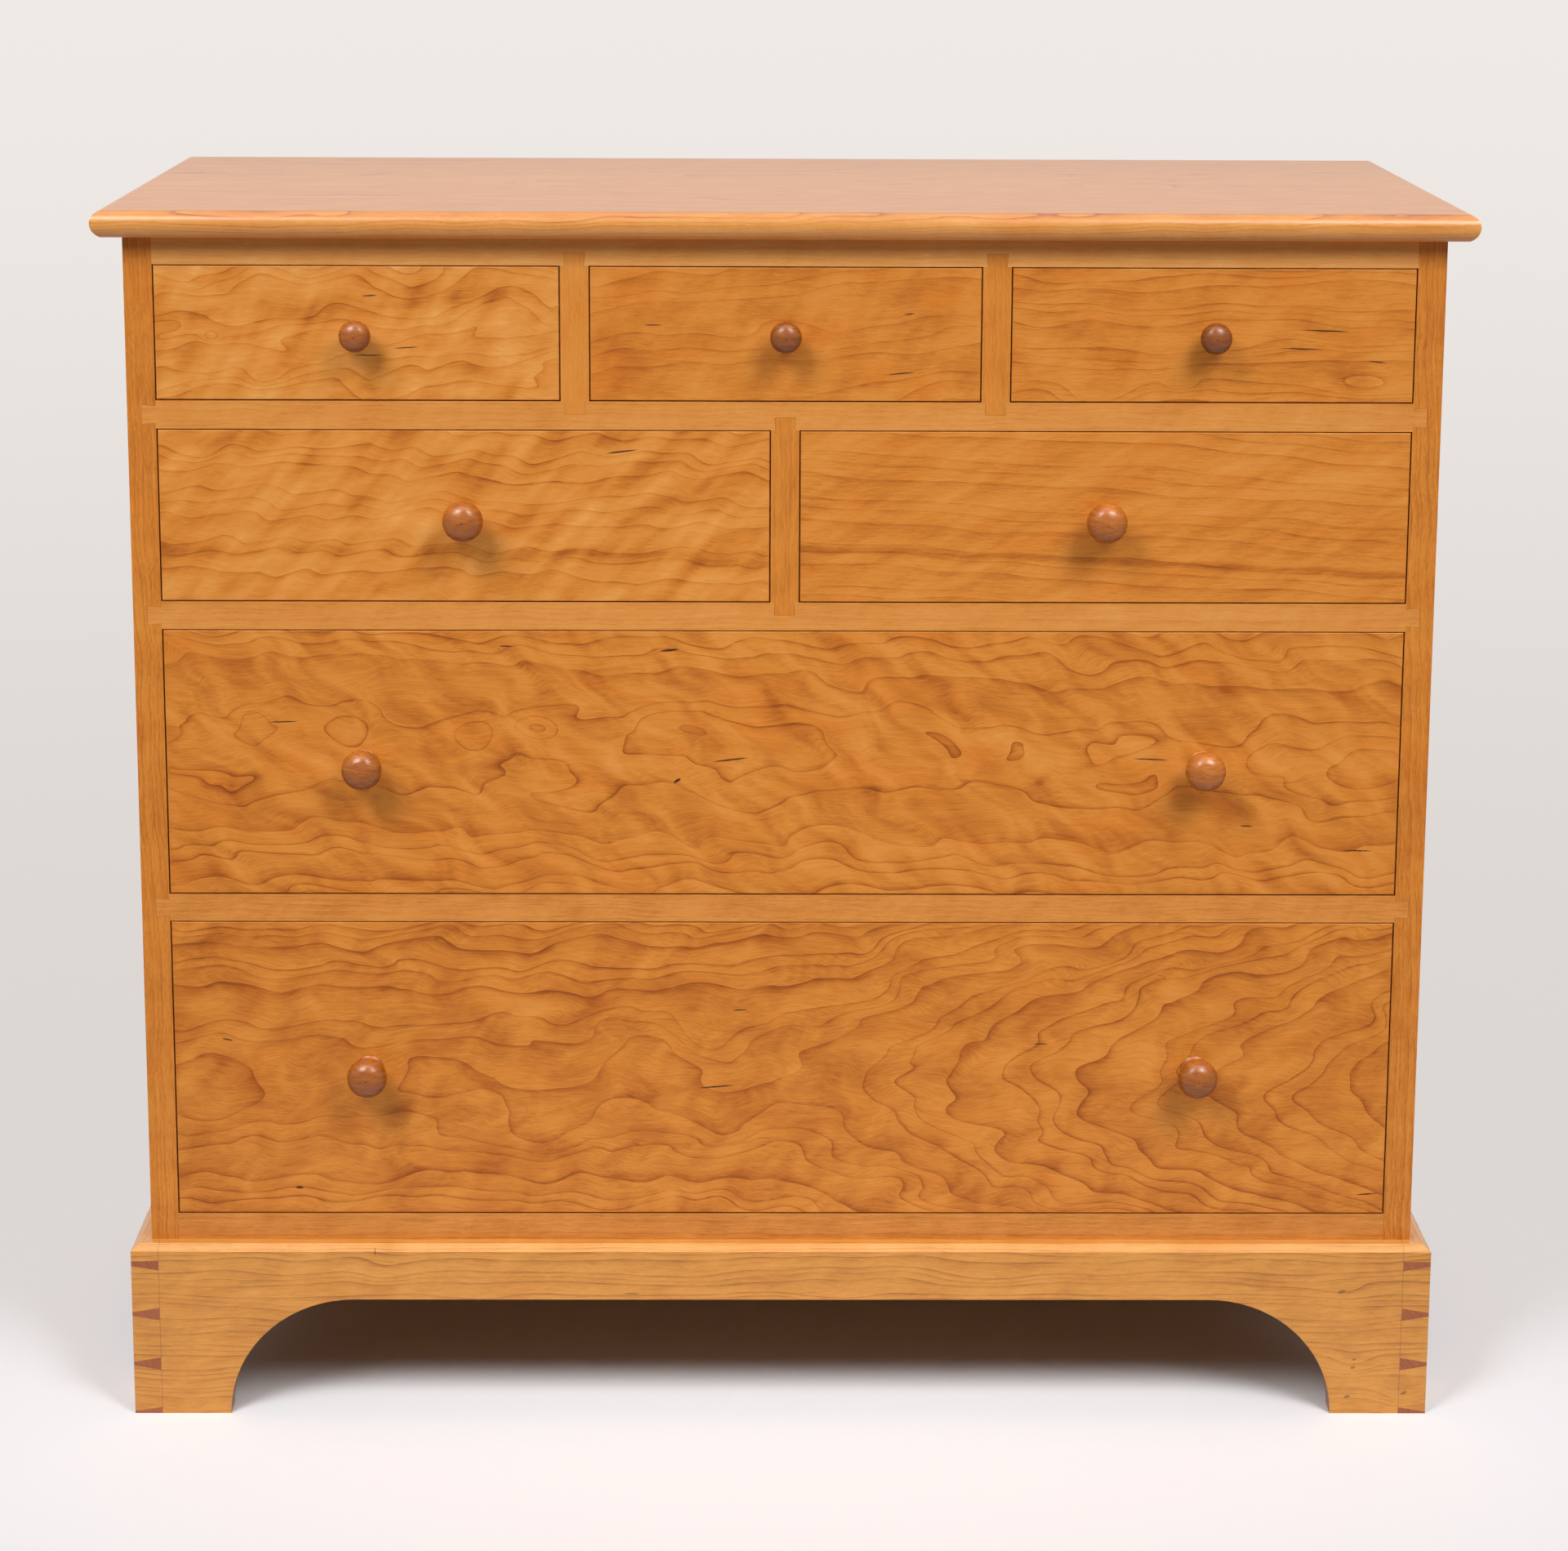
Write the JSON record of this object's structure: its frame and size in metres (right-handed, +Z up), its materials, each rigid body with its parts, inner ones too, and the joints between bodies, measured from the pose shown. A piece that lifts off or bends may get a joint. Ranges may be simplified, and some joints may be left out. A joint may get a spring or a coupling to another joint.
{
  "type": "chest of drawers",
  "caption": "Flat-fronted wooden chest of drawers on a dovetailed bracket base, with turned knobs, flush drawers in graded rows and a rounded overhanging top; stores clothes and linen.",
  "frame": {"origin": "on the floor, under the middle of the overall box with the drawers closed", "axes": "+Z up, drawers open towards -Y, +X to the right as seen from the front"},
  "size_m": [1.0588, 0.5244, 0.9726],
  "materials": {
    "cherry": "satin oiled cherry",
    "knob_wood": "polished dark wood",
    "drawer_wood": "bare planed pale wood",
    "frame_wood": "bare planed pale wood",
    "screw_steel": "plain steel"
  },
  "bodies": {
    "case": {"top_board": "cherry", "side_left": "cherry", "side_right": "cherry", "top_front_rail": "cherry", "top_back_rail": "frame_wood", "rail_upper": "cherry", "rail_middle": "cherry", "rail_lower": "cherry", "rail_bottom": "cherry", "back_rails": "frame_wood", "muntin_upper_left": "cherry", "muntin_upper_right": "cherry", "muntin_lower": "cherry", "side_runners": "frame_wood", "center_runners": "frame_wood", "top_kickers": "frame_wood", "drawer_guides": "frame_wood", "drawer_stops": "frame_wood", "back_boards": "frame_wood", "base_front": "cherry", "base_left": "cherry", "base_right": "cherry", "base_back": "frame_wood", "base_blocks": "frame_wood", "screws": "screw_steel"},
    "drawer_top_left": {"drawer_top_left_front": "cherry", "drawer_top_left_sides": "drawer_wood", "drawer_top_left_back": "drawer_wood", "drawer_top_left_bottom": "drawer_wood", "drawer_top_left_knob": "knob_wood"},
    "drawer_top_center": {"drawer_top_center_front": "cherry", "drawer_top_center_sides": "drawer_wood", "drawer_top_center_back": "drawer_wood", "drawer_top_center_bottom": "drawer_wood", "drawer_top_center_knob": "knob_wood"},
    "drawer_top_right": {"drawer_top_right_front": "cherry", "drawer_top_right_sides": "drawer_wood", "drawer_top_right_back": "drawer_wood", "drawer_top_right_bottom": "drawer_wood", "drawer_top_right_knob": "knob_wood"},
    "drawer_upper_left": {"drawer_upper_left_front": "cherry", "drawer_upper_left_sides": "drawer_wood", "drawer_upper_left_back": "drawer_wood", "drawer_upper_left_bottom": "drawer_wood", "drawer_upper_left_knob": "knob_wood"},
    "drawer_upper_right": {"drawer_upper_right_front": "cherry", "drawer_upper_right_sides": "drawer_wood", "drawer_upper_right_back": "drawer_wood", "drawer_upper_right_bottom": "drawer_wood", "drawer_upper_right_knob": "knob_wood"},
    "drawer_middle": {"drawer_middle_front": "cherry", "drawer_middle_sides": "drawer_wood", "drawer_middle_back": "drawer_wood", "drawer_middle_bottom": "drawer_wood", "drawer_middle_knobs": "knob_wood"},
    "drawer_lower": {"drawer_lower_front": "cherry", "drawer_lower_sides": "drawer_wood", "drawer_lower_back": "drawer_wood", "drawer_lower_bottom": "drawer_wood", "drawer_lower_knobs": "knob_wood"}
  },
  "joints": [
    {"name": "drawer_top_left_slide", "type": "slide", "parent": "case", "child": "drawer_top_left", "axis": [0, -1, 0], "range_m": [0, 0.34]},
    {"name": "drawer_top_center_slide", "type": "slide", "parent": "case", "child": "drawer_top_center", "axis": [0, -1, 0], "range_m": [0, 0.34]},
    {"name": "drawer_top_right_slide", "type": "slide", "parent": "case", "child": "drawer_top_right", "axis": [0, -1, 0], "range_m": [0, 0.34]},
    {"name": "drawer_upper_left_slide", "type": "slide", "parent": "case", "child": "drawer_upper_left", "axis": [0, -1, 0], "range_m": [0, 0.34]},
    {"name": "drawer_upper_right_slide", "type": "slide", "parent": "case", "child": "drawer_upper_right", "axis": [0, -1, 0], "range_m": [0, 0.34]},
    {"name": "drawer_middle_slide", "type": "slide", "parent": "case", "child": "drawer_middle", "axis": [0, -1, 0], "range_m": [0, 0.34]},
    {"name": "drawer_lower_slide", "type": "slide", "parent": "case", "child": "drawer_lower", "axis": [0, -1, 0], "range_m": [0, 0.34]}
  ]
}
